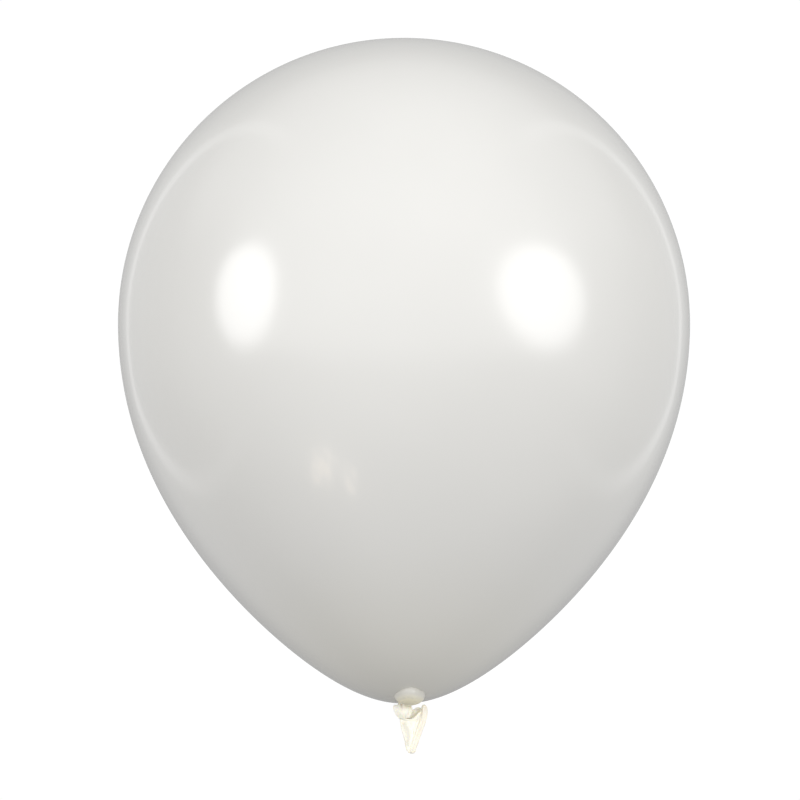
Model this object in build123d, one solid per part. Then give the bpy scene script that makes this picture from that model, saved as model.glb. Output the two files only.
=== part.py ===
"""A tied latex balloon, blown up to about 29 cm.

Millimetres, +Z up, the balloon above its knot. The origin is the middle of the neck, where the neck
passes from the balloon into the knot and where a ribbon is tied. The front of the balloon faces -Y.
"""
from build123d import *
from math import atan2, cos, hypot, pi, radians, sin
import os

# ---- Driving dimensions, millimetres and degrees ----

# The blown-up film: an upper half ball, and a lower half that is drawn out and tapers to the neck.
body_radius = 145.75
lower_stretch = 50.5
lower_taper = 0.30
taper_power = 3.15
stretch_power = 1.5
film_wall = 0.4

# The neck, gathered to a round waist between the film and the knot.
neck_radius = 3.0
neck_end_flat = 2.6
tie_groove = 1.8
moving_gap = 0.3
collar_wall = 0.9
collar_roof = 0.6
film_above_collar = 0.5

# The thick, hardly stretched latex that swells out in front of the neck.
swell_radius = 8.0
swell_depth = 5.6
swell_edge = 4.4
swell_wall = 0.8
swell_side = 2.8
swell_before_neck = 3.6
swell_rise = 3.2
swell_lean = 12.0

# The knot: a fat turn of the neck, and the strand that passes through it and out to the right.
knot_radius = 4.8
knot_half_height = 4.4
knot_edge = 4.1
knot_side = -0.5
knot_drop = 2.4
strand_radius = 1.25
strand_reach = 6.0
strand_top = 1.4
strand_depth = 3.4

# The flattened end of the neck that hangs out of the knot, and the bead rolled round its mouth.
root_left_x = -1.2
root_left_z = -7.9
root_slope = 25.7
root_radius = 1.1
root_length = 12.4
knot_below_root = 0.6
tail_swing = 60.0
tail_wall = 0.7
tail_air = 0.8
tail_edge_web = 0.9
bead_radius = 0.75
bead_half_spacing = 1.05
bead_turn = 45.0
rim_top_x = 10.9
rim_top_z = -2.4
rim_length = 21.8
rim_slope = 21.5

# ---- Worked out from the dimensions ----

groove_half = tie_groove / 2
swell_forward = swell_radius + swell_before_neck
film_bottom = groove_half + film_above_collar
ball_centre_z = film_bottom + lower_stretch + body_radius
socket_radius = neck_radius + moving_gap
collar_radius = socket_radius + collar_wall
knot_centre = (knot_side, 0, -groove_half - knot_drop)
rim_top = Vector(rim_top_x, 0, rim_top_z)
rim_along = Vector(-sin(radians(rim_slope)), 0, -cos(radians(rim_slope)))
rim_out = Vector(cos(radians(rim_slope)), 0, -sin(radians(rim_slope)))
rim_bottom = rim_top + rim_along * rim_length
root_left = Vector(root_left_x, 0, root_left_z)
root_along = Vector(cos(radians(root_slope)), 0, sin(radians(root_slope)))
root_right = root_left + root_along * root_length


def turned(face):
    """Turn a face drawn in the XZ plane all the way round the vertical axis."""
    return revolve(face, Axis.Z, 360)


def lower_outline_point(radius, turn):
    """A point of the lower outline, turn running from 90 at the widest place to 180 at the bottom."""
    low = max(0.0, -cos(radians(turn)))
    across = radius * sin(radians(turn)) * (1 - lower_taper * low**taper_power)
    down = radius * low + lower_stretch * low**stretch_power
    return (across, ball_centre_z - down)


def film_body(radius):
    """The closed teardrop that the film's outer or inner face follows."""
    top = (0, ball_centre_z + radius)
    side = (radius, ball_centre_z)
    shoulder = (radius * cos(pi / 4), ball_centre_z + radius * sin(pi / 4))
    lower = [lower_outline_point(radius, turn) for turn in range(90, 175, 6)]
    lower.append((0, ball_centre_z - radius - lower_stretch))
    outline = Curve() + [
        ThreePointArc(top, shoulder, side),
        Spline(*lower, tangents=[(0, -1), (-1, 0)]),
        Line(lower[-1], top),
    ]
    return turned(Plane.XZ * make_face(outline))


def bun(across, upright, edge):
    """A round bun: a crown of one ball over an edge of a smaller radius, the same above and below."""
    sink = ((across - edge) ** 2 - (upright - edge) ** 2) / (2 * (upright - edge))
    crown = upright + sink
    join = hypot(across - edge, sink)
    meet = (crown * (across - edge) / join, crown * sink / join - sink)
    half_angle = atan2(meet[0], meet[1] + sink) / 2
    crown_middle = (crown * sin(half_angle), crown * cos(half_angle) - sink)
    outline = Curve() + [
        ThreePointArc((0, upright), crown_middle, meet),
        ThreePointArc(meet, (across, 0), (meet[0], -meet[1])),
        ThreePointArc((meet[0], -meet[1]), (crown_middle[0], -crown_middle[1]), (0, -upright)),
        Line((0, -upright), (0, upright)),
    ]
    return turned(Plane.XZ * make_face(outline))


def swell_place():
    """Where the swelling sits: in front of the neck, leaning forward."""
    return Pos(swell_side, -swell_forward, swell_rise) * Rot(-swell_lean, 0, 0)


def neck_collar():
    """The thick ring and roof that close the film over the end of the neck."""
    height = socket_radius + collar_roof - groove_half
    return Pos(0, 0, groove_half + height / 2) * Cylinder(collar_radius, height)


def make_envelope():
    """The thin film, open where the thick latex of the neck joins it."""
    film = film_body(body_radius) - film_body(body_radius - film_wall)
    swell = swell_place() * bun(swell_radius, swell_depth, swell_edge)
    return film - swell - neck_collar()


def make_neck_dome():
    """The thick latex round the neck: a hollow swelling, open to the air inside, and the collar."""
    outer = swell_place() * bun(swell_radius, swell_depth, swell_edge)
    inner = swell_place() * bun(swell_radius - swell_wall, swell_depth - swell_wall, swell_edge - swell_wall)
    shell = outer - film_body(body_radius - film_wall) - inner
    return shell + neck_collar() - Sphere(socket_radius)


def make_neck_stem():
    """The gathered waist, round so that it can turn both ways in its two sockets."""
    return Sphere(neck_radius) & Cylinder(neck_radius, 2 * neck_end_flat)


def strand():
    """The strand through the knot, from its middle up to the right."""
    start = Vector(0, 0, -strand_depth)
    end = Vector(strand_reach, 0, -strand_top)
    run = end - start
    rod = Plane(origin=start, z_dir=run) * Cylinder(
        strand_radius, run.length, align=(Align.CENTER, Align.CENTER, Align.MIN)
    )
    return rod + Pos(start) * Sphere(strand_radius) + Pos(end) * Sphere(strand_radius)


def room_for_tail():
    """The space that the tail's root and walls swing through, and everything below it."""
    clear = root_radius + moving_gap
    far = 4 * root_length
    start = root_left - root_along * root_length
    groove = Plane(origin=start, z_dir=root_along) * Cylinder(
        clear, 3 * root_length, align=(Align.CENTER, Align.CENTER, Align.MIN)
    )
    root_plane = Plane(origin=start, x_dir=root_along, z_dir=(0, 1, 0))
    below = root_plane * Pos(0, knot_below_root, 0) * Box(
        3 * root_length, far, far, align=(Align.MIN, Align.MIN, Align.CENTER)
    )
    room = groove + below
    for swing in (-tail_swing, tail_swing):
        slab = Box(3 * root_length, far, 2 * clear, align=(Align.MIN, Align.MIN, Align.CENTER))
        room += root_plane * Rot(swing, 0, 0) * slab
    return room


def make_knot_wrap():
    """The fat turn of the knot, hollowed for the strand, the neck and the tail's root."""
    lump = Pos(knot_centre) * bun(knot_radius, knot_half_height, knot_edge)
    lump = lump & Pos(0, 0, -groove_half) * Box(
        4 * knot_radius, 4 * knot_radius, 4 * knot_radius, align=(Align.CENTER, Align.CENTER, Align.MAX)
    )
    return lump - strand() - Sphere(socket_radius) - room_for_tail()


def make_knot_strand():
    """The strand, clear of the neck's ball and of the tail's root."""
    return strand() - Sphere(socket_radius) - room_for_tail()


def rim_loop():
    """The rolled bead: a wire round the flattened mouth, two straight runs and two round ends."""
    short = rim_out * cos(radians(bead_turn)) + Vector(0, 1, 0) * sin(radians(bead_turn))
    place = Plane(origin=(rim_top + rim_bottom) / 2, x_dir=rim_along, z_dir=rim_along.cross(short))
    half = rim_length / 2
    loop = Part()
    for side in (-1, 1):
        run = Pos(0, side * bead_half_spacing, 0) * Rot(0, 90, 0) * Cylinder(bead_radius, rim_length)
        end = Torus(bead_half_spacing, bead_radius, major_angle=180)
        loop += run
        loop += Pos(side * half, 0, 0) * Rot(0, 0, -90 * side) * end
    return place * loop


def tail_outline(out):
    """The tail's flat outline, its rim side moved outward by a distance."""
    top = rim_top + rim_out * out
    bottom = rim_bottom + rim_out * out
    corners = [root_left, root_right, top, bottom]
    edge = bottom - rim_out * (out + 1.7 * bead_half_spacing)
    corners.append(edge)
    return [(corner.X, corner.Z) for corner in corners]


def flat_piece(corners, thickness, middle_y):
    """A flat piece with the given corners in the XZ plane."""
    face = Plane.XZ * make_face(Polyline(*corners, close=True))
    return Pos(0, middle_y, 0) * extrude(face, thickness / 2, both=True)


def make_tail():
    """Two walls pressed together, joined along the root and the free edge, open at the rim."""
    shift = bead_half_spacing * cos(radians(bead_turn))
    middle = tail_air / 2 + tail_wall / 2
    front = flat_piece(tail_outline(-shift), tail_wall, -middle)
    back = flat_piece(tail_outline(shift), tail_wall, middle)
    free_edge = tail_outline(0)[4]
    run = Vector(free_edge[0], 0, free_edge[1]) - root_left
    inward = Vector(-run.Z, 0, run.X).normalized() * tail_edge_web
    web = flat_piece(
        [
            (root_left.X, root_left.Z),
            (root_left.X + inward.X, root_left.Z + inward.Z),
            (free_edge[0] + inward.X, free_edge[1] + inward.Z),
            free_edge,
        ],
        tail_air,
        0,
    )
    root = Plane(origin=root_left, z_dir=root_along) * Cylinder(
        root_radius, root_length, align=(Align.CENTER, Align.CENTER, Align.MIN)
    )
    return front + back + web + root - rim_loop()


def main():
    os.makedirs("parts", exist_ok=True)
    makers = {
        "envelope": make_envelope,
        "neck_dome": make_neck_dome,
        "neck_stem": make_neck_stem,
        "knot_wrap": make_knot_wrap,
        "knot_strand": make_knot_strand,
        "tail": make_tail,
        "rolled_lip": rim_loop,
    }
    for name, make in makers.items():
        export_step(make(), f"parts/{name}.step")


main()
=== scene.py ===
"""A tied white latex balloon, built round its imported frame. The file is laid out as an add-on:
one operator for each piece and one for the stage, listed in a panel, and main() runs them in order."""
from math import cos, pi, radians, sin

import bpy
import numpy as np
from mathutils import Matrix, Vector


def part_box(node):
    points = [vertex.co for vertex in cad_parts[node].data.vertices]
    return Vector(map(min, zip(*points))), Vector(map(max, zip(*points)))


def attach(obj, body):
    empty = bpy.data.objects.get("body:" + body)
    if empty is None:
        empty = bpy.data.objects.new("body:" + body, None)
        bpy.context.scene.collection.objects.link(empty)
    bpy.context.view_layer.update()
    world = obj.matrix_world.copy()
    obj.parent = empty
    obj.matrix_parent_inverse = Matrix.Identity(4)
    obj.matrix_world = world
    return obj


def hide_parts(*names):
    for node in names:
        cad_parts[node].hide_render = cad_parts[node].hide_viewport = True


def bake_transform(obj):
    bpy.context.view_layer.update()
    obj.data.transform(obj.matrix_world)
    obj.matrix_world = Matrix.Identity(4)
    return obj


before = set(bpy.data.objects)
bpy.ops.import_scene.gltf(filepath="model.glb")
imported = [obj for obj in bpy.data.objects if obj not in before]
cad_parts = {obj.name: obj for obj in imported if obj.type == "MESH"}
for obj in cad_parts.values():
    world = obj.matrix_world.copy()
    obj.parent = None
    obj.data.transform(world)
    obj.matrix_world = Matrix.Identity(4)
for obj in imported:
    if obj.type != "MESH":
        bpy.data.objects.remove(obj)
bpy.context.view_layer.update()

bl_info = {
    "name": "Latex balloon",
    "version": (1, 0, 0),
    "blender": (4, 5, 0),
    "location": "3D View > Sidebar > Balloon",
    "description": "Builds a tied latex balloon, its knot and tail, and a plain studio",
    "category": "Object",
}

MM = 0.001
FILM_LOW, FILM_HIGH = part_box("envelope")
FILM_RADIUS = (FILM_HIGH[0] - FILM_LOW[0]) / 2
FILM_TOP = FILM_HIGH[2]
SWELL_LOW, SWELL_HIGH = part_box("neck_dome")
NECK_LOW, NECK_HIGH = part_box("neck_stem")
NECK_RADIUS = (NECK_HIGH[0] - NECK_LOW[0]) / 2


# ---- Sizes and colours that a user would change ----


class BalloonSizes(bpy.types.PropertyGroup):
    """Sizes of the blown-up film, the rolled lip and the moulding grain."""

    body_radius: bpy.props.FloatProperty(
        name="Body radius", description="Largest radius of the film", default=FILM_RADIUS, unit="LENGTH"
    )
    lower_stretch: bpy.props.FloatProperty(
        name="Lower stretch", description="How far the lower half is drawn out",
        default=50.5 * MM, unit="LENGTH",
    )
    lower_taper: bpy.props.FloatProperty(
        name="Lower taper", description="Share of the radius lost towards the neck",
        default=0.30, subtype="FACTOR",
    )
    taper_power: bpy.props.FloatProperty(
        name="Taper power", description="How late the taper sets in", default=3.15
    )
    stretch_power: bpy.props.FloatProperty(
        name="Stretch power", description="How late the stretch sets in", default=1.5
    )
    film_around: bpy.props.IntProperty(
        name="Faces around", description="Faces round the film", default=224, min=24
    )
    film_up: bpy.props.IntProperty(
        name="Faces up", description="Faces from the bottom of the film to its top", default=176, min=24
    )
    bead_radius: bpy.props.FloatProperty(
        name="Bead radius", description="Radius of the rolled lip", default=0.75 * MM, unit="LENGTH"
    )
    voxel: bpy.props.FloatProperty(
        name="Voxel", description="Grain that the knot and tail are moulded at",
        default=0.16 * MM, unit="LENGTH",
    )


class BalloonColours(bpy.types.PropertyGroup):
    """Colours of the latex and the floor."""

    film: bpy.props.FloatVectorProperty(
        name="Film", description="Stretched film", subtype="COLOR", size=3, default=(0.640, 0.634, 0.613)
    )
    film_low: bpy.props.FloatVectorProperty(
        name="Film near the neck", description="Film next to the neck", subtype="COLOR", size=3,
        default=(0.635, 0.623, 0.580),
    )
    neck: bpy.props.FloatVectorProperty(
        name="Neck", description="Thick latex at the neck", subtype="COLOR", size=3,
        default=(0.57, 0.555, 0.50),
    )
    # Thick latex next to the knot: its own deeper cream; on the gathered neck this darker tone also paints
    # the shade between the swelling and the knot.
    neck_low: bpy.props.FloatVectorProperty(
        name="Neck underside", description="Thick latex next to the knot", subtype="COLOR", size=3,
        default=(0.76, 0.71, 0.53),
    )
    thick: bpy.props.FloatVectorProperty(
        name="Knot and tail", description="Unstretched latex", subtype="COLOR", size=3,
        default=(0.93, 0.90, 0.79),
    )
    lip: bpy.props.FloatVectorProperty(
        name="Lip", description="Rolled lip", subtype="COLOR", size=3, default=(0.86, 0.82, 0.71)
    )
    # Painted shade: the darker, yellower tone that latex deep in a fold is tinted with; part of its yellow
    # is the thick latex's own.
    deep: bpy.props.FloatVectorProperty(
        name="Folds", description="Latex deep in a fold", subtype="COLOR", size=3, default=(0.60, 0.54, 0.32)
    )
    floor: bpy.props.FloatVectorProperty(
        name="Floor", description="Studio floor", subtype="COLOR", size=3, default=(0.85, 0.85, 0.85)
    )


def sizes():
    """The sizes in use."""
    return bpy.context.scene.balloon_sizes


def colours():
    """The colours in use."""
    return bpy.context.scene.balloon_colours


# ---- Nodes ----

# Where a Mix node keeps its sockets for colours.
MIX_FACTOR, MIX_FIRST, MIX_SECOND = 0, 6, 7
MIX_RESULT = 2


class Value:
    """A node's number output that can be used in plain arithmetic."""

    def __init__(self, graph, socket):
        self.graph = graph
        self.socket = socket

    def math(self, operation, *others, swap=False):
        """A Math node on this value and the others."""
        terms = (*others, self) if swap else (self, *others)
        return self.graph.value("ShaderNodeMath", {"operation": operation}, dict(enumerate(terms)))

    def __add__(self, other):
        return self.math("ADD", other)

    def __radd__(self, other):
        return self.math("ADD", other)

    def __sub__(self, other):
        return self.math("SUBTRACT", other)

    def __rsub__(self, other):
        return self.math("SUBTRACT", other, swap=True)

    def __mul__(self, other):
        return self.math("MULTIPLY", other)

    def __rmul__(self, other):
        return self.math("MULTIPLY", other)

    def __truediv__(self, other):
        return self.math("DIVIDE", other)

    def __rtruediv__(self, other):
        return self.math("DIVIDE", other, swap=True)

    def __pow__(self, other):
        return self.math("POWER", other)

    def __rpow__(self, other):
        return self.math("POWER", other, swap=True)

    def __neg__(self):
        return self.math("MULTIPLY", -1.0)

    def above(self, low, high):
        """0 below low, 1 above high, with a smooth step between."""
        settings = {"interpolation_type": "SMOOTHSTEP", "clamp": True}
        inputs = {"Value": self, "From Min": low, "From Max": high, "To Min": 0.0, "To Max": 1.0}
        return self.graph.value("ShaderNodeMapRange", settings, inputs, "Result")

    def below(self, low, high):
        """1 below low, 0 above high, with a smooth step between."""
        return 1.0 - self.above(low, high)


class Graph:
    """A node tree that nodes are added to by one method."""

    def __init__(self, tree):
        self.tree = tree

    def node(self, kind, settings=None, inputs=None):
        """A node of a kind, its settings made first, then its sockets' values or links."""
        made = self.tree.nodes.new(kind)
        for name, setting in (settings or {}).items():
            setattr(made, name, setting)
        self.fill(made, inputs or {})
        return made

    def fill(self, node, inputs):
        """Give a node's sockets their values or links."""
        for key, given in inputs.items():
            socket = node.inputs[key]
            if isinstance(given, Value):
                self.tree.links.new(given.socket, socket)
            elif isinstance(given, bpy.types.NodeSocket):
                self.tree.links.new(given, socket)
            else:
                socket.default_value = given

    def value(self, kind, settings=None, inputs=None, output=0):
        """A node's output as a Value."""
        return Value(self, self.node(kind, settings, inputs).outputs[output])

    def split(self, vector):
        """The three numbers of a vector."""
        parts = self.node("ShaderNodeSeparateXYZ", None, {0: vector}).outputs
        return [Value(self, part) for part in parts]

    def blend(self, factor, first, second):
        """A colour between two colours, by the colour sockets of a Mix node."""
        inputs = {MIX_FACTOR: factor, MIX_FIRST: first, MIX_SECOND: second}
        return self.node("ShaderNodeMix", {"data_type": "RGBA"}, inputs).outputs[MIX_RESULT]

    def noise(self, place, scale, detail, roughness=0.5):
        """Soft noise in space, scale in spots for each metre."""
        inputs = {"Vector": place, "Scale": scale, "Detail": detail, "Roughness": roughness}
        return self.value("ShaderNodeTexNoise", None, inputs)

    def bump(self, height, strength, distance):
        """A normal roughened by a height."""
        inputs = {"Strength": strength, "Distance": distance, "Height": height}
        return self.node("ShaderNodeBump", None, inputs).outputs[0]


WHITE = (1.0, 1.0, 1.0, 1.0)


def four(colour, shade=1.0):
    """A colour, darkened by shade, with its alpha."""
    return (*(channel * shade for channel in colour), 1.0)


# ---- Materials ----

LATEX_IOR = 1.5

# The egg-shaped patch of thick latex in front of the neck, in plan: its middle, its half sizes, how
# uneven its edge is, where the edge starts and ends as a share of the half sizes, and how closely
# its rings of stretch follow each other.
EGG_MIDDLE = (3.0 * MM, -5.0 * MM)
EGG_HALF = (7.9 * MM, 14.0 * MM)
EGG_WOBBLE = 0.16
EGG_EDGE = (0.86, 1.06)
EGG_RINGS = 46.0

# Heights between which one tone of latex fades into the next.
CREAM_FADE = (-2.0 * MM, 2.6 * MM)
EGG_FADE = (12 * MM, 20 * MM)
NECK_FADE = (2 * MM, 70 * MM)

# Shade is painted deep in a fold: where little of the space within reach is open, the latex is tinted
# darker and yellower. The reach, the open share up to which the painted shade is full, and the one from
# which there is none.
FOLD_SHADE_REACH = 2.2 * MM
FOLD_SHADE_OPEN = (0.15, 0.72)


def new_material(name):
    """A material with an empty graph, its shader and its output."""
    material = bpy.data.materials.new(name)
    material.use_nodes = True
    material.node_tree.nodes.clear()
    graph = Graph(material.node_tree)
    shader = graph.node("ShaderNodeBsdfPrincipled")
    graph.node("ShaderNodeOutputMaterial", None, {"Surface": shader.outputs[0]})
    return material, graph, shader


def thick_patch(graph, place):
    """How thick the latex before the neck is, 1 inside the egg and 0 outside, and how far out it is."""
    x, y, _ = graph.split(place)
    across = (x - EGG_MIDDLE[0]) / EGG_HALF[0]
    along = (y - EGG_MIDDLE[1]) / EGG_HALF[1]
    wobble = graph.noise(place, scale=160.0, detail=2.0)
    away = (across * across + along * along).math("SQRT") + EGG_WOBBLE * (wobble - 0.5)
    return away.below(*EGG_EDGE), away


def neck_material():
    """Thick latex before the neck: cream below, fading into the film, with faint rings of stretch."""
    material, graph, shader = new_material("neck latex")
    place = graph.node("ShaderNodeTexCoord").outputs["Object"]
    inside, away = thick_patch(graph, place)
    height = graph.split(place)[2]
    cream = graph.blend(height.below(*CREAM_FADE), four(colours().neck), four(colours().neck_low))
    ring = (away * EGG_RINGS).math("SINE") * 0.5 + 0.5
    cloud = graph.noise(place, scale=420.0, detail=3.0)
    ringed = graph.blend(ring * cloud.above(0.35, 0.7) * 0.5, cream, four(colours().neck, 0.90))
    graph.fill(shader, {
        "Base Color": graph.blend(inside, four(colours().film_low, 0.85), ringed),
        "Roughness": 0.34,
        "IOR": LATEX_IOR,
        "Normal": graph.bump(ring * 0.4 + cloud, strength=0.25, distance=0.2 * MM),
    })
    return material


def film_material():
    """Glossy white latex, stretched thin; a touch greyer and warmer next to the neck."""
    material, graph, shader = new_material("stretched film")
    place = graph.node("ShaderNodeTexCoord").outputs["Object"]
    height = graph.split(place)[2]
    cloud = graph.noise(place, scale=9.0, detail=2.0)
    white = graph.blend(cloud.above(0.35, 0.7), four(colours().film), four(colours().film, 0.975))
    thin = graph.blend(height.below(*NECK_FADE), white, four(colours().film_low))
    egg = thick_patch(graph, place)[0] * height.below(*EGG_FADE)
    grain = graph.noise(place, scale=900.0, detail=3.0, roughness=0.6)
    graph.fill(shader, {
        "Base Color": graph.blend(egg, thin, four(colours().neck)),
        "Roughness": 0.20,
        "IOR": LATEX_IOR,
        "Coat Weight": 0.5,
        "Coat Roughness": 0.04,
        "Coat IOR": LATEX_IOR,
        "Normal": graph.bump(grain, strength=0.02, distance=0.2 * MM),
    })
    return material


def thick_material(name, colour, roughness):
    """Unstretched latex: satin, cream, with a fine moulded grain; deep in its folds and in the tail's dents
    it gets painted shade, darker and yellower, the yellow partly the thick latex's own.
    """
    material, graph, shader = new_material(name)
    place = graph.node("ShaderNodeTexCoord").outputs["Object"]
    settings = {"samples": 8, "only_local": True}
    # Painted shade: ambient occlusion finds where the folds close in, and the colour there is blended
    # towards the darker, yellower fold tone.
    fold = graph.value("ShaderNodeAmbientOcclusion", settings, {"Distance": FOLD_SHADE_REACH}, "AO")
    cloud = graph.noise(place, scale=260.0, detail=3.0, roughness=0.55)
    mottled = graph.blend(cloud.above(0.35, 0.75), four(colour), four(colour, 0.94))
    # Painted shade: where the tail's 'fold' attribute marks a pressed dent, the colour is blended towards a
    # darker copy of itself.
    pressed = graph.value("ShaderNodeAttribute", {"attribute_name": "fold"}, None, "Fac")
    shaded = graph.blend(pressed, mottled, four(colour, 0.80))
    grain = graph.noise(place, scale=2600.0, detail=4.0, roughness=0.6)
    graph.fill(shader, {
        "Base Color": graph.blend(fold.below(*FOLD_SHADE_OPEN), shaded, four(colours().deep)),
        "Roughness": roughness,
        "IOR": LATEX_IOR,
        "Subsurface Weight": 0.25,
        "Subsurface Radius": (1.0, 0.8, 0.45),
        "Subsurface Scale": 0.8 * MM,
        "Normal": graph.bump(grain, strength=0.12, distance=0.05 * MM),
    })
    return material


# ---- Mesh work ----

# Points worked out on each stretch of a smooth line before it is spaced evenly.
LINE_STEPS = 24

# How far a strand's tip stands past its last ring, as a share of its radius.
TIP_SHARE = 0.7


def smooth_faces(mesh):
    """Shade every face of a mesh smooth."""
    for face in mesh.polygons:
        face.use_smooth = True


def put_object(name, mesh):
    """A new object in the scene, its faces shaded smooth."""
    mesh.name = name
    smooth_faces(mesh)
    made = bpy.data.objects.new(name, mesh)
    bpy.context.scene.collection.objects.link(made)
    return made


def baked(made):
    """The object with its modifiers turned into plain mesh."""
    bpy.context.view_layer.update()
    graph = bpy.context.evaluated_depsgraph_get()
    mesh = bpy.data.meshes.new_from_object(made.evaluated_get(graph), depsgraph=graph)
    made.modifiers.clear()
    old = made.data
    made.data = mesh
    bpy.data.meshes.remove(old)
    return made


def unit(vectors):
    """The vectors, each made one long."""
    return vectors / np.linalg.norm(vectors, axis=1)[:, None]


def smooth_line(points, count):
    """Points on a smooth line through the given points, evenly spread along it."""
    points = np.array(points, float)
    ends = np.vstack([2 * points[0] - points[1], points, 2 * points[-1] - points[-2]])
    line = []
    for index in range(1, len(ends) - 2):
        before, start, stop, after = ends[index - 1 : index + 3]
        slope = stop - before
        bend = 2 * before - 5 * start + 4 * stop - after
        twist = 3 * start - before - 3 * stop + after
        for share in np.linspace(0, 1, LINE_STEPS, endpoint=index == len(ends) - 3):
            line.append(0.5 * (2 * start + slope * share + bend * share**2 + twist * share**3))
    line = np.array(line)
    along = np.concatenate([[0], np.cumsum(np.linalg.norm(np.diff(line[:, :3], axis=0), axis=1))])
    spots = np.linspace(0, along[-1], count)
    return np.stack([np.interp(spots, along, line[:, axis]) for axis in range(line.shape[1])], axis=1)


def rings(middles, side, up, radii, sides):
    """A ring of points round each point of a line, square to it."""
    turns = np.arange(sides) * 2 * pi / sides
    around = side[:, None] * np.cos(turns)[None, :, None] + up[:, None] * np.sin(turns)[None, :, None]
    return (middles[:, None] + around * radii[:, None, None]).reshape(-1, 3)


def band(low, high, sides):
    """Faces between two rings, each given by the number of its first point."""
    turned = [(step, (step + 1) % sides) for step in range(sides)]
    return [(low + step, low + after, high + after, high + step) for step, after in turned]


def tube_faces(sides, count):
    """Faces of a closed tube: its first point, rings of points, and its last point."""
    faces = []
    for row in range(count - 1):
        faces += band(1 + row * sides, 1 + (row + 1) * sides, sides)
    end = 1 + count * sides
    for step in range(sides):
        after = (step + 1) % sides
        faces.append((0, 1 + after, 1 + step))
        faces.append((end, end - sides + step, end - sides + after))
    return faces


def strand_mesh(points, sides=20, count=48):
    """A round-ended strand along points (x, y, z, radius), in millimetres."""
    line = smooth_line(points, count)
    middle, radius = line[:, :3], line[:, 3]
    ahead = unit(np.gradient(middle, axis=0))
    side = unit(np.cross(ahead, (0.0, 1.0, 0.0)))
    first = middle[0] - ahead[0] * radius[0] * TIP_SHARE
    last = middle[-1] + ahead[-1] * radius[-1] * TIP_SHARE
    spots = np.vstack([first, rings(middle, side, np.cross(side, ahead), radius, sides), last])
    return spots, tube_faces(sides, count)


def loop_mesh(line, radius, sides=20):
    """A closed ring of round section along a closed line."""
    count = len(line)
    ahead = unit(np.roll(line, -1, axis=0) - np.roll(line, 1, axis=0))
    side = unit(np.cross(ahead, line - line.mean(axis=0)))
    spots = rings(line, side, np.cross(side, ahead), np.full(count, radius), sides)
    faces = []
    for index in range(count):
        faces += band(index * sides, (index + 1) % count * sides, sides)
    return spots, faces


def ball_mesh(centre, radii, lean=0.0, around=48, up=32):
    """A ball with three radii, leaned about X, in millimetres."""
    turns = np.arange(around) * 2 * pi / around
    spots = [(0, 0, -1)]
    for rise in (np.arange(1, up) / up - 0.5) * pi:
        spots += [(cos(rise) * cos(turn), cos(rise) * sin(turn), sin(rise)) for turn in turns]
    spots.append((0, 0, 1))
    tilt = np.array(Matrix.Rotation(lean, 3, "X"))
    return (np.array(spots) * np.array(radii)) @ tilt.T + np.array(centre), tube_faces(around, up - 1)


def stack_mesh(levels, sides=56, count=24):
    """A solid stack of level rings (x, y, z, radius), in millimetres."""
    line = smooth_line(levels, count)
    turns = np.arange(sides) * 2 * pi / sides
    spots = [tuple(line[0, :3])]
    for x, y, z, radius in line:
        spots += [(x + radius * cos(turn), y + radius * sin(turn), z) for turn in turns]
    spots.append(tuple(line[-1, :3]))
    return np.array(spots), tube_faces(sides, count)


def sheet_mesh(rows, thickness):
    """A slab of even thickness (along Y) whose front follows a grid of points, in millimetres."""
    rows = np.array(rows)
    up, across = rows.shape[:2]
    front = rows.reshape(-1, 3)
    back = front + np.array([0, thickness, 0])
    shift = up * across
    faces = []
    for row in range(up - 1):
        for step in range(across - 1):
            a = row * across + step
            b, c, d = a + 1, a + across + 1, a + across
            faces.append((a, b, c, d))
            faces.append((a + shift, d + shift, c + shift, b + shift))
    edge = list(range(across))
    edge += [row * across + across - 1 for row in range(1, up)]
    edge += [(up - 1) * across + step for step in range(across - 2, -1, -1)]
    edge += [row * across for row in range(up - 2, 0, -1)]
    for index, a in enumerate(edge):
        b = edge[(index + 1) % len(edge)]
        faces.append((b, a, a + shift, b + shift))
    return np.vstack([front, back]), faces


def joined(parts):
    """Several meshes given as points in millimetres and faces, as one Blender mesh in metres."""
    spots, faces, start = [], [], 0
    for points, polygons in parts:
        spots.append(points * MM)
        faces += [tuple(corner + start for corner in polygon) for polygon in polygons]
        start += len(points)
    mesh = bpy.data.meshes.new("work")
    mesh.from_pydata(np.vstack(spots).tolist(), [], faces)
    mesh.update()
    return mesh


def moulded(name, parts, voxel, rounds):
    """Overlapping parts melted into one closed skin and softened, as moulded latex is."""
    made = put_object(name, joined(parts))
    melt = made.modifiers.new("melt", "REMESH")
    melt.mode = "VOXEL"
    melt.voxel_size = voxel
    soften = made.modifiers.new("soften", "SMOOTH")
    soften.factor = 0.5
    soften.iterations = rounds
    baked(made)
    smooth_faces(made.data)
    return made


# ---- The film ----

# Points nearer than this are one point, which closes the film's seam and its poles, in metres.
SEAM_GAP = 2e-6


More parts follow.
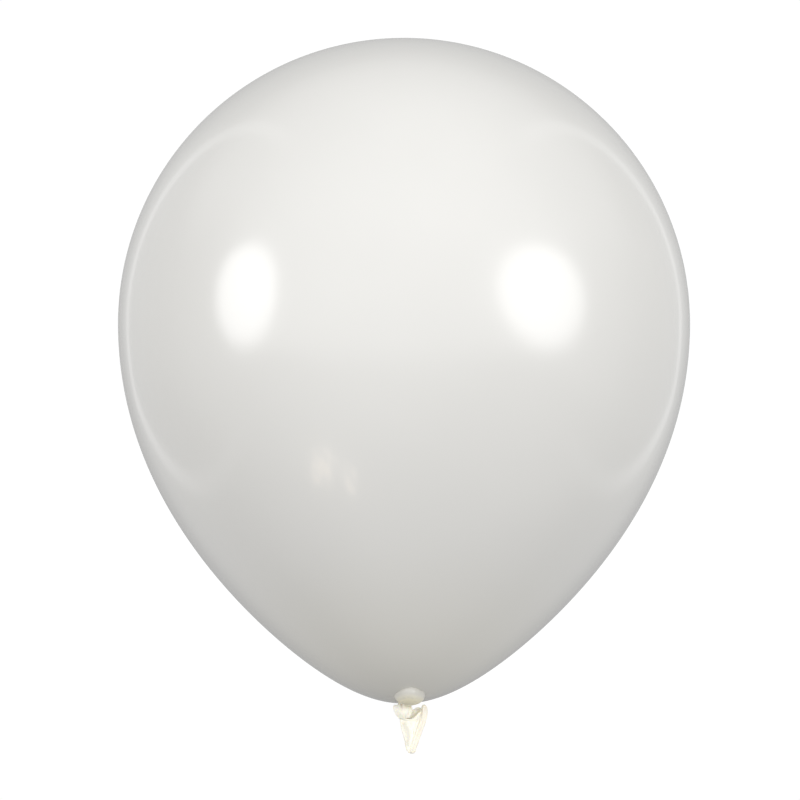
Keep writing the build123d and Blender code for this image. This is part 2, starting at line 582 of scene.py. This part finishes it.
def film_tree():
    """Geometry nodes for the film: a grid wrapped into a ball whose lower half is drawn out."""
    tree = bpy.data.node_groups.new("blown film", "GeometryNodeTree")
    for name, kind in (
        ("Radius", "NodeSocketFloat"),
        ("Stretch", "NodeSocketFloat"),
        ("Taper", "NodeSocketFloat"),
        ("Taper Power", "NodeSocketFloat"),
        ("Stretch Power", "NodeSocketFloat"),
        ("Top", "NodeSocketFloat"),
        ("Around", "NodeSocketInt"),
        ("Up", "NodeSocketInt"),
        ("Latex", "NodeSocketMaterial"),
    ):
        tree.interface.new_socket(name, in_out="INPUT", socket_type=kind)
    tree.interface.new_socket("Film", in_out="OUTPUT", socket_type="NodeSocketGeometry")
    graph = Graph(tree)
    given = graph.node("NodeGroupInput").outputs
    size = {name: Value(graph, given[name]) for name in given.keys() if name and name != "Latex"}
    grid = graph.node(
        "GeometryNodeMeshGrid",
        None,
        {"Size X": 1.0, "Size Y": 1.0, "Vertices X": size["Around"] + 1.0, "Vertices Y": size["Up"] + 1.0},
    )
    along, up, _ = graph.split(graph.node("GeometryNodeInputPosition").outputs[0])
    turn = (along + 0.5) * (2 * pi)
    fall = (0.5 - up) * pi
    down = -fall.math("COSINE")
    low = down.math("MAXIMUM", 0.0)
    radius = size["Radius"] * fall.math("SINE") * (1.0 - size["Taper"] * low ** size["Taper Power"])
    height = size["Top"] - size["Radius"] * (1.0 + down) - size["Stretch"] * low ** size["Stretch Power"]
    spot = graph.node(
        "ShaderNodeCombineXYZ",
        None,
        {"X": radius * turn.math("COSINE"), "Y": radius * turn.math("SINE"), "Z": height},
    )
    made = grid.outputs[0]
    for kind, inputs in (
        ("GeometryNodeSetPosition", {"Position": spot.outputs[0]}),
        ("GeometryNodeMergeByDistance", {"Distance": SEAM_GAP}),
        ("GeometryNodeSetShadeSmooth", {}),
        ("GeometryNodeRealizeInstances", {}),
        ("GeometryNodeSetMaterial", {"Material": given["Latex"]}),
    ):
        made = graph.node(kind, None, {"Geometry": made, **inputs}).outputs[0]
    graph.node("NodeGroupOutput", None, {0: made})
    return tree


class BALLOON_OT_film(bpy.types.Operator):
    """Blow up the thin film of the balloon's body"""

    bl_idname = "balloon.film"
    bl_label = "Film"

    def execute(self, context):
        wanted = sizes()
        tree = film_tree()
        made = put_object("film", bpy.data.meshes.new("film"))
        nodes = made.modifiers.new("blow up", "NODES")
        nodes.node_group = tree
        values = {
            "Radius": wanted.body_radius,
            "Stretch": wanted.lower_stretch,
            "Taper": wanted.lower_taper,
            "Taper Power": wanted.taper_power,
            "Stretch Power": wanted.stretch_power,
            "Top": FILM_TOP,
            "Around": wanted.film_around,
            "Up": wanted.film_up,
            "Latex": film_material(),
        }
        for item in tree.interface.items_tree:
            if item.item_type == "SOCKET" and item.in_out == "INPUT":
                nodes[item.identifier] = values[item.name]
        baked(made)
        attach(made, "balloon")
        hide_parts("envelope")
        return {"FINISHED"}


# ---- The neck ----

# The ball under the film that the swelling is moulded on, in millimetres: how far its middle is
# behind the front of the swelling, its height, its radii and lean, and how much wider it gets for
# each millimetre further back; and how much coarser it is moulded than the knot.
SWELL_BEHIND = 8.0
SWELL_HEIGHT = 2.95
SWELL_RADII = (7.2, 7.2, 5.4)
SWELL_LEAN = radians(-12)
SWELL_TAPER = 0.055
SWELL_GRAIN = 1.4

# The thick latex opens out from the ring round the neck: x, y, z and radius, in millimetres.
NECK_FLARE = (
    (0.0, 0.0, 0.95, 3.5),
    (0.8, -1.2, 1.35, 4.5),
    (1.9, -3.0, 1.95, 6.2),
    (2.7, -4.8, 3.2, 8.0),
    (2.8, -5.0, 4.5, 8.0),
)

# The gathered neck: its height as a share of its width, half the depth of a pleat as a share of the
# radius, how unevenly the pleats are spread, and its faces round and up.
NECK_SQUAT = 0.86
PLEAT_DEPTH = 0.05
PLEAT_SPREAD = 0.5
NECK_FACES = (156, 40)


class BALLOON_OT_neck_swell(bpy.types.Operator):
    """Mould the thick latex that swells out in front of the neck, with the ring round the neck"""

    bl_idname = "balloon.neck_swell"
    bl_label = "Neck swelling"

    def execute(self, context):
        middle = (SWELL_LOW[0] + SWELL_HIGH[0]) / 2 / MM
        depth = SWELL_LOW[1] / MM + SWELL_BEHIND
        spots, faces = ball_mesh((middle, depth, SWELL_HEIGHT), SWELL_RADII, SWELL_LEAN)
        spots[:, 0] = middle + (spots[:, 0] - middle) * (1 + SWELL_TAPER * (spots[:, 1] - depth))
        parts = [(spots, faces), stack_mesh(NECK_FLARE)]
        made = moulded("neck_swell", parts, sizes().voxel * SWELL_GRAIN, rounds=16)
        made.data.materials.append(neck_material())
        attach(made, "balloon")
        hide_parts("neck_dome")
        return {"FINISHED"}


class BALLOON_OT_neck(bpy.types.Operator):
    """Gather the neck into its pleated waist"""

    bl_idname = "balloon.neck"
    bl_label = "Neck"

    pleats: bpy.props.IntProperty(name="Pleats", description="Folds round the neck", default=13, min=3)

    def execute(self, context):
        radius = NECK_RADIUS / MM
        around, up = NECK_FACES
        spots = [(0, 0, -radius * NECK_SQUAT)]
        for row in range(1, up):
            rise = (row / up - 0.5) * pi
            for step in range(around):
                turn = step * 2 * pi / around
                crease = 1 + cos(self.pleats * turn + PLEAT_SPREAD * sin(3 * turn))
                ring = radius * cos(rise) * (1 - PLEAT_DEPTH * cos(rise) * crease)
                spots.append((ring * cos(turn), ring * sin(turn), radius * NECK_SQUAT * sin(rise)))
        spots.append((0, 0, radius * NECK_SQUAT))
        made = put_object("neck", joined([(np.array(spots), tube_faces(around, up - 1))]))
        # Painted shade: the gathered neck takes the darker cream, which stands for the shade between the
        # swelling and the knot as well as the thick latex's own colour.
        made.data.materials.append(thick_material("gathered latex", colours().neck_low, 0.4))
        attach(made, "neck")
        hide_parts("neck_stem")
        return {"FINISHED"}


# ---- The knot ----

# Folds of the knot's fat turn, from the neck down to where they are squeezed together. Each point is
# x, y, z and the fold's radius, in millimetres.
KNOT_FOLDS = (
    ((-4.6, -0.3, -0.7, 1.0), (-4.3, -0.9, -2.4, 1.15), (-3.3, -1.3, -4.8, 1.1), (-1.8, -1.3, -7.2, 0.8)),
    ((-3.4, -1.4, -0.9, 1.0), (-3.0, -2.2, -2.8, 1.1), (-2.2, -2.2, -5.0, 1.1), (-0.9, -1.6, -7.4, 0.8)),
    ((-2.0, -2.0, -0.9, 1.1), (-1.7, -2.9, -2.9, 1.3), (-1.0, -2.9, -5.2, 1.2), (0.0, -1.8, -7.4, 0.8)),
    ((0.4, -2.2, -1.0, 1.5), (0.9, -2.9, -3.1, 1.85), (1.0, -2.7, -5.2, 1.6), (1.1, -1.8, -7.2, 0.9)),
    ((2.7, -1.0, -1.2, 1.1), (3.1, -1.7, -2.8, 1.2), (2.8, -1.8, -4.7, 1.1), (2.4, -1.4, -6.8, 0.8)),
    ((-3.0, 1.4, -0.9, 1.1), (-3.1, 2.1, -2.7, 1.3), (-2.4, 2.2, -4.7, 1.2), (-1.1, 1.6, -6.6, 0.8)),
    ((-0.6, 2.2, -1.0, 1.2), (-0.5, 3.1, -2.8, 1.4), (-0.1, 3.1, -4.8, 1.2), (0.4, 1.9, -6.6, 0.8)),
    ((1.9, 1.4, -1.2, 1.1), (2.4, 2.3, -2.7, 1.2), (2.2, 2.3, -4.3, 1.1), (1.7, 1.6, -6.0, 0.8)),
)

# Latex inside the folds, which fills the knot and its shoulders: middle and radii, in millimetres.
KNOT_CORE = ((-0.5, -0.1, -3.5), (4.0, 3.3, 3.3))
KNOT_SHOULDERS = ((-0.9, -0.2, -1.5), (4.5, 3.1, 1.25))


class BALLOON_OT_knot(bpy.types.Operator):
    """Mould the knot's fat turn from its folds"""

    bl_idname = "balloon.knot"
    bl_label = "Knot"

    def execute(self, context):
        parts = [strand_mesh(fold) for fold in KNOT_FOLDS]
        parts += [ball_mesh(*KNOT_CORE), ball_mesh(*KNOT_SHOULDERS)]
        made = moulded("knot", parts, sizes().voxel, rounds=14)
        made.data.materials.append(thick_material("knotted latex", colours().thick, 0.4))
        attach(made, "knot")
        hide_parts("knot_wrap", "knot_strand")
        return {"FINISHED"}


# ---- The tail ----

# Lines of the flat tail in the XZ plane, in millimetres.
TAIL_LEFT = ((-1.7, -7.1), (-0.9, -11.9), (0.1, -15.7), (0.9, -19.4), (1.6, -22.6), (2.6, -24.2))
TAIL_RIGHT = ((8.6, -2.9), (7.8, -7.4), (6.1, -12.1), (4.6, -18.0), (3.5, -24.3))
TAIL_FOOT = ((2.6, -24.2), (3.1, -24.5), (3.5, -24.3))
FRONT_TOP = ((-1.7, -7.1), (0.3, -7.7), (2.8, -8.1), (4.5, -7.7), (6.2, -6.2), (7.6, -4.4), (8.6, -2.9))
BACK_TOP = ((-1.7, -7.1), (0.4, -5.8), (2.6, -4.2), (4.6, -3.2), (6.0, -2.2), (7.4, -1.9), (8.6, -2.9))
RIM_LINE = ((10.1, -1.9), (10.35, -4.4), (9.5, -8.4), (7.9, -12.8), (6.1, -18.0), (4.3, -23.4))

# Reliefs pressed into the front of the tail: a line, how wide, and how deep (raised when negative).
TAIL_RELIEFS = (
    (((0.1, -10.4), (1.1, -12.8), (1.9, -15.8), (1.8, -18.4), (1.6, -20.6)), 1.5, 0.60),
    (((2.2, -11.0), (3.7, -13.6), (4.0, -16.2), (3.5, -19.5), (2.9, -22.4)), 0.6, -0.25),
    (((6.6, -8.0), (5.2, -12.4), (4.2, -17.0), (3.5, -22.0)), 0.45, 0.22),
    (((3.0, -9.6), (4.2, -12.0), (4.4, -15.0)), 0.5, 0.16),
    (((5.6, -8.6), (7.0, -7.3), (8.2, -5.4)), 0.4, 0.25),
)

# The two walls, in millimetres: where each one's face is along Y and how far it bulges there, and
# how thick both are.
FRONT_WALL = (-0.95, -0.35)
BACK_WALL = (0.35, 0.30)
WALL_THICK = 0.6

# Rolled edges and creases round the walls: a line, its place along Y and its radius, in millimetres.
TAIL_EDGES = (
    (TAIL_LEFT, -0.25, 0.62),
    (TAIL_LEFT, -0.75, 0.36),
    (FRONT_TOP[:-1], -1.05, 0.55),
    (BACK_TOP[2:], 0.30, 0.50),
    (TAIL_RIGHT, -0.20, 0.75),
)

# The round tip of the tail: middle and radii, in millimetres.
TAIL_TIP = ((3.6, -0.4, -24.0), (1.4, 0.85, 1.0))

# The tail's front lies before this place along Y, and a relief this deep gets the full painted shade of a
# dent.
FRONT_LIMIT = 0.2
FULL_SHADE_DEPTH = 0.5


def patch(top, foot, left, right, across=48, up=64):
    """A grid of points of the XZ plane that fills the space between four lines."""
    top, foot = smooth_line(top, across), smooth_line(foot, across)
    left, right = smooth_line(left, up), smooth_line(right, up)
    s = np.linspace(0, 1, across)[None, :, None]
    t = np.linspace(0, 1, up)[:, None, None]
    sides = (1 - s) * left[:, None] + s * right[:, None]
    ends = (1 - t) * top[None] + t * foot[None]
    corners = (1 - t) * ((1 - s) * top[0] + s * top[-1]) + t * ((1 - s) * foot[0] + s * foot[-1])
    return sides + ends - corners


def relief(points):
    """How deep the tail's reliefs are at points of the XZ plane."""
    depth = np.zeros(points.shape[:-1])
    for line, width, deep in TAIL_RELIEFS:
        run = smooth_line(line, 60)
        away = np.linalg.norm(points[..., None, :] - run, axis=-1).min(axis=-1)
        depth += deep * np.exp(-((away / width) ** 2))
    return depth


def wall(points, middle, bulge, pressed):
    """One wall of the tail as a slab, bulging towards its middle; pressed says whether reliefs show."""
    rows, columns = points.shape[:2]
    swell = np.sin(np.linspace(0, pi, columns))[None, :] * (1 - 0.5 * np.linspace(0, 1, rows)[:, None])
    face = middle + bulge * swell + (relief(points) if pressed else 0)
    return sheet_mesh(np.stack([points[..., 0], face, points[..., 1]], axis=-1), WALL_THICK)


def flat_strand(line, depth, radius, sides=20):
    """A strand along a line of the XZ plane."""
    return strand_mesh([(x, depth, z, radius) for x, z in line], sides)


class BALLOON_OT_tail(bpy.types.Operator):
    """Mould the flattened end of the neck, with its folds and the pocket beside the knot"""

    bl_idname = "balloon.tail"
    bl_label = "Tail"

    def execute(self, context):
        front = patch(FRONT_TOP, TAIL_FOOT, TAIL_LEFT, TAIL_RIGHT)
        back = patch(BACK_TOP, TAIL_FOOT, TAIL_LEFT, TAIL_RIGHT)
        parts = [wall(front, *FRONT_WALL, True), wall(back, *BACK_WALL, False)]
        parts += [flat_strand(*edge) for edge in TAIL_EDGES]
        parts.append(ball_mesh(*TAIL_TIP))
        made = moulded("flat_tail", parts, sizes().voxel, rounds=4)
        spots = np.array([spot.co for spot in made.data.vertices]) / MM
        # Painted shade: each point on the tail's front gets a share of the darker copy from how deep its
        # dent is, kept in the 'fold' attribute.
        folds = np.clip(relief(spots[:, (0, 2)]) / FULL_SHADE_DEPTH, 0, 1) * (spots[:, 1] < FRONT_LIMIT)
        fold = made.data.attributes.new("fold", "FLOAT", "POINT")
        fold.data.foreach_set("value", folds.astype(np.float32))
        made.data.materials.append(thick_material("tail latex", colours().thick, 0.42))
        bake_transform(made)
        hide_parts("tail")
        return {"FINISHED"}


# ---- The rolled lip ----

# The bead doubled flat: the places of its two runs along Y, in millimetres, half their spacing as a
# share of the bead's radius, and how far the two end bends reach as a share of that half.
BEAD_FRONT = -0.95
BEAD_BACK = -0.20
BEAD_HALF = 0.99
BEND_REACH = 1.3
BEND_STEPS = 14

# The latex rolled up between the two runs: its place along Y and its radius as a share of the bead's.
ROLL_DEPTH = -0.45
ROLL_SHARE = 0.8


def half_turn(start, stop, ahead, reach):
    """Points of a half turn from start to stop, bulging ahead."""
    spots = []
    for share in np.linspace(0, 1, BEND_STEPS)[1:-1]:
        turn = pi * share
        spot = np.array(start) * (1 + cos(turn)) / 2 + np.array(stop) * (1 - cos(turn)) / 2
        spots.append(spot + np.array([ahead[0], 0, ahead[1]]) * sin(turn) * reach)
    return spots


class BALLOON_OT_lip(bpy.types.Operator):
    """Roll the bead round the flattened mouth of the tail"""

    bl_idname = "balloon.lip"
    bl_label = "Rolled lip"

    def execute(self, context):
        radius = sizes().bead_radius / MM
        half = radius * BEAD_HALF
        run = smooth_line(RIM_LINE, 90)
        ahead = unit(np.gradient(run, axis=0))
        out = np.stack([-ahead[:, 1], ahead[:, 0]], axis=1) * half
        near = [(x, BEAD_FRONT, z) for x, z in run - out]
        far = [(x, BEAD_BACK, z) for x, z in run + out]
        line = near + half_turn(near[-1], far[-1], ahead[-1], half * BEND_REACH)
        line += far[::-1] + half_turn(far[0], near[0], -ahead[0], half * BEND_REACH)
        parts = [
            loop_mesh(np.array(line), radius),
            flat_strand(RIM_LINE, ROLL_DEPTH, radius * ROLL_SHARE, sides=16),
        ]
        made = moulded("lip_bead", parts, sizes().voxel, rounds=3)
        made.data.materials.append(thick_material("lip latex", colours().lip, 0.38))
        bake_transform(made)
        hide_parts("rolled_lip")
        return {"FINISHED"}


# ---- The studio ----

# Soft boxes and warm glints round the balloon: degrees round from the front and up, half width, half
# height, and strength.
LEFT_BOX = (-65.0, 6.0, 14.5, 14.5, 4.2)
RIGHT_BOX = (56.0, 4.0, 20.0, 15.0, 3.5)
GLINT = 2.8
LEFT_GLINT = (-49.0, -45.0, 10.0, 5.0, GLINT)
RIGHT_GLINT = (-36.0, -50.0, 5.5, 4.5, GLINT)
GLINT_TONE = (1.0, 0.84, 0.66, 1.0)

# Strengths of the plain room from the front, the right and the left, of the wall behind, of the
# canopy overhead, of the gap at its edge, and of the backdrop that is seen.
ROOM_FRONT = 0.55
ROOM_RIGHT = 0.28
ROOM_LEFT = 0.26
WALL_BEHIND = 0.49
CANOPY = 0.78
GAP = 0.42
BACKDROP = 1.02

# The canopy, in degrees from the front over the top: where it starts, where it ends and where it
# dims, each as a soft step; how much it dims; and where its sides end. A place to the side is how
# far its direction leans sideways: 0 is straight ahead and 1 is square to the side.
CANOPY_START = (-27.0, -13.0)
CANOPY_END = (105.0, 125.0)
CANOPY_DIMS = (22.0, 85.0)
CANOPY_DIM = 0.72
CANOPY_SIDES = (0.80, 0.99)

# The lit gap beside the canopy: how far to the side it is, the level below which it splays, how fast
# it splays, and its half width as a soft step.
GAP_OUT = 0.54
GAP_LEVEL = 0.12
GAP_SPLAY = 0.65
GAP_WIDTH = (0.012, 0.05)


def lamp_patch(side, rise, middle_side, middle_rise, half_width, half_height, strength):
    """A soft oval of light in the surroundings, placed in degrees round and up."""
    across = (side - middle_side) / half_width
    along = (rise - middle_rise) / half_height
    away = (across * across + along * along).math("SQRT")
    return strength * away.below(0.70, 1.20)


def studio_world():
    """A white background; unseen round it, the soft studio that lights the balloon and mirrors in it."""
    world = bpy.data.worlds.new("studio")
    world.use_nodes = True
    world.node_tree.nodes.clear()
    graph = Graph(world.node_tree)
    way = graph.node("ShaderNodeTexCoord").outputs["Generated"]
    x, y, z = graph.split(way)
    front = -y
    side = x.math("ARCTAN2", front).math("DEGREES")
    rise = z.math("ARCSINE").math("DEGREES")
    over = z.math("ARCTAN2", front).math("DEGREES")
    wide = x.math("ABSOLUTE")
    room = ROOM_FRONT * front.above(-1.0, 1.0)
    room += ROOM_RIGHT * x.above(-0.5, 1.0) + ROOM_LEFT * (-x).above(-0.5, 1.0)
    behind = WALL_BEHIND * y.above(0.2, 0.9) * (0.72 + 0.28 * wide.above(0.35, 0.6))
    canopy = over.above(*CANOPY_START) * over.below(*CANOPY_END) * wide.below(*CANOPY_SIDES)
    canopy *= CANOPY * (1.0 - CANOPY_DIM * over.above(*CANOPY_DIMS))
    seam = wide - GAP_OUT - GAP_SPLAY * (GAP_LEVEL - z).math("MAXIMUM", 0.0)
    gap = GAP * seam.math("ABSOLUTE").below(*GAP_WIDTH) * y.above(-0.3, 0.1) * z.above(-0.75, -0.2)
    boxes = lamp_patch(side, rise, *LEFT_BOX) + lamp_patch(side, rise, *RIGHT_BOX)
    glow = graph.noise(way, scale=14.0, detail=3.0).above(0.38, 0.60)
    glints = lamp_patch(side, rise, *LEFT_GLINT) + lamp_patch(side, rise, *RIGHT_GLINT)
    glints *= 0.15 + 0.85 * glow
    around = graph.node("ShaderNodeBackground", None, {
        "Color": graph.blend(glints / GLINT, WHITE, GLINT_TONE),
        "Strength": room + behind + canopy + gap + boxes + glints,
    })
    plain = graph.node("ShaderNodeBackground", None, {"Color": WHITE, "Strength": BACKDROP})
    seen = graph.node("ShaderNodeLightPath").outputs["Is Camera Ray"]
    mixed = graph.node("ShaderNodeMixShader", None, {0: seen, 1: around.outputs[0], 2: plain.outputs[0]})
    graph.node("ShaderNodeOutputWorld", None, {"Surface": mixed.outputs[0]})
    bpy.context.scene.world = world


# The floor: far below the hanging balloon, a wide pale disc with a faint glow, in metres.
FLOOR_HEIGHT = -0.9
FLOOR_RADIUS = 3.0
FLOOR_SIDES = 64
FLOOR_GLOW = 0.22

# The camera looks up at the balloon: its angle, its distance, the width it takes in, how far below
# the widest place of the film it looks, and how much further left and down, in metres.
CAMERA_RISE = radians(-15)
CAMERA_DISTANCE = 2.5
CAMERA_SENSOR = 36
VIEW_WIDTH = 0.4072
LOOK_DROP = 26 * MM
LOOK_LEFT = 2.04 * MM
LOOK_LOWER = 13.6 * MM


def lay_floor():
    """The pale floor, which gives no light or mirror image to the balloon."""
    turns = np.arange(FLOOR_SIDES) * 2 * pi / FLOOR_SIDES
    ring = [(FLOOR_RADIUS * cos(turn), FLOOR_RADIUS * sin(turn), FLOOR_HEIGHT) for turn in turns]
    mesh = bpy.data.meshes.new("floor")
    mesh.from_pydata(ring, [], [tuple(range(FLOOR_SIDES))])
    floor = put_object("floor", mesh)
    material, graph, shader = new_material("floor")
    graph.fill(shader, {
        "Base Color": four(colours().floor),
        "Roughness": 0.9,
        "Emission Color": WHITE,
        "Emission Strength": FLOOR_GLOW,
    })
    floor.data.materials.append(material)
    floor.visible_diffuse = False
    floor.visible_glossy = False


def place_camera():
    """The camera, level from side to side, looking up from below the balloon's middle."""
    data = bpy.data.cameras.new("camera")
    camera = bpy.data.objects.new("camera", data)
    bpy.context.scene.collection.objects.link(camera)
    away = Vector((0, -cos(CAMERA_RISE), sin(CAMERA_RISE)))
    up = Vector((0, sin(CAMERA_RISE), cos(CAMERA_RISE)))
    look = Vector((-LOOK_LEFT, 0, FILM_TOP - FILM_RADIUS - LOOK_DROP)) - up * LOOK_LOWER
    camera.location = look + away * CAMERA_DISTANCE
    camera.rotation_euler = away.to_track_quat("Z", "Y").to_euler()
    data.sensor_width = CAMERA_SENSOR
    data.lens = CAMERA_SENSOR * CAMERA_DISTANCE / VIEW_WIDTH
    bpy.context.scene.camera = camera


class BALLOON_OT_stage(bpy.types.Operator):
    """Set up the floor, the surroundings that light the balloon, and the camera"""

    bl_idname = "balloon.stage"
    bl_label = "Stage"

    def execute(self, context):
        context.scene.view_settings.view_transform = "Standard"
        studio_world()
        lay_floor()
        place_camera()
        return {"FINISHED"}


class BALLOON_PT_panel(bpy.types.Panel):
    """Lists the balloon's pieces and sizes"""

    bl_idname = "BALLOON_PT_panel"
    bl_label = "Balloon"
    bl_space_type = "VIEW_3D"
    bl_region_type = "UI"
    bl_category = "Balloon"

    def draw(self, context):
        for each in PIECES:
            self.layout.operator(each.bl_idname)
        for name in BalloonSizes.__annotations__:
            self.layout.prop(sizes(), name)
        for name in BalloonColours.__annotations__:
            self.layout.prop(colours(), name)


PIECES = (
    BALLOON_OT_film,
    BALLOON_OT_neck_swell,
    BALLOON_OT_neck,
    BALLOON_OT_knot,
    BALLOON_OT_tail,
    BALLOON_OT_lip,
    BALLOON_OT_stage,
)
CLASSES = (BalloonSizes, BalloonColours, *PIECES, BALLOON_PT_panel)


def register():
    """Register the classes and hang the settings on the scene."""
    for each in CLASSES:
        bpy.utils.register_class(each)
    bpy.types.Scene.balloon_sizes = bpy.props.PointerProperty(type=BalloonSizes)
    bpy.types.Scene.balloon_colours = bpy.props.PointerProperty(type=BalloonColours)


def unregister():
    """Take the settings and the classes away again."""
    del bpy.types.Scene.balloon_colours
    del bpy.types.Scene.balloon_sizes
    for each in reversed(CLASSES):
        bpy.utils.unregister_class(each)


def main():
    """Build every piece in order."""
    register()
    bpy.ops.balloon.film()
    bpy.ops.balloon.neck_swell()
    bpy.ops.balloon.neck()
    bpy.ops.balloon.knot()
    bpy.ops.balloon.tail()
    bpy.ops.balloon.lip()
    bpy.ops.balloon.stage()
    bpy.context.view_layer.update()


if __name__ == "__main__":
    main()
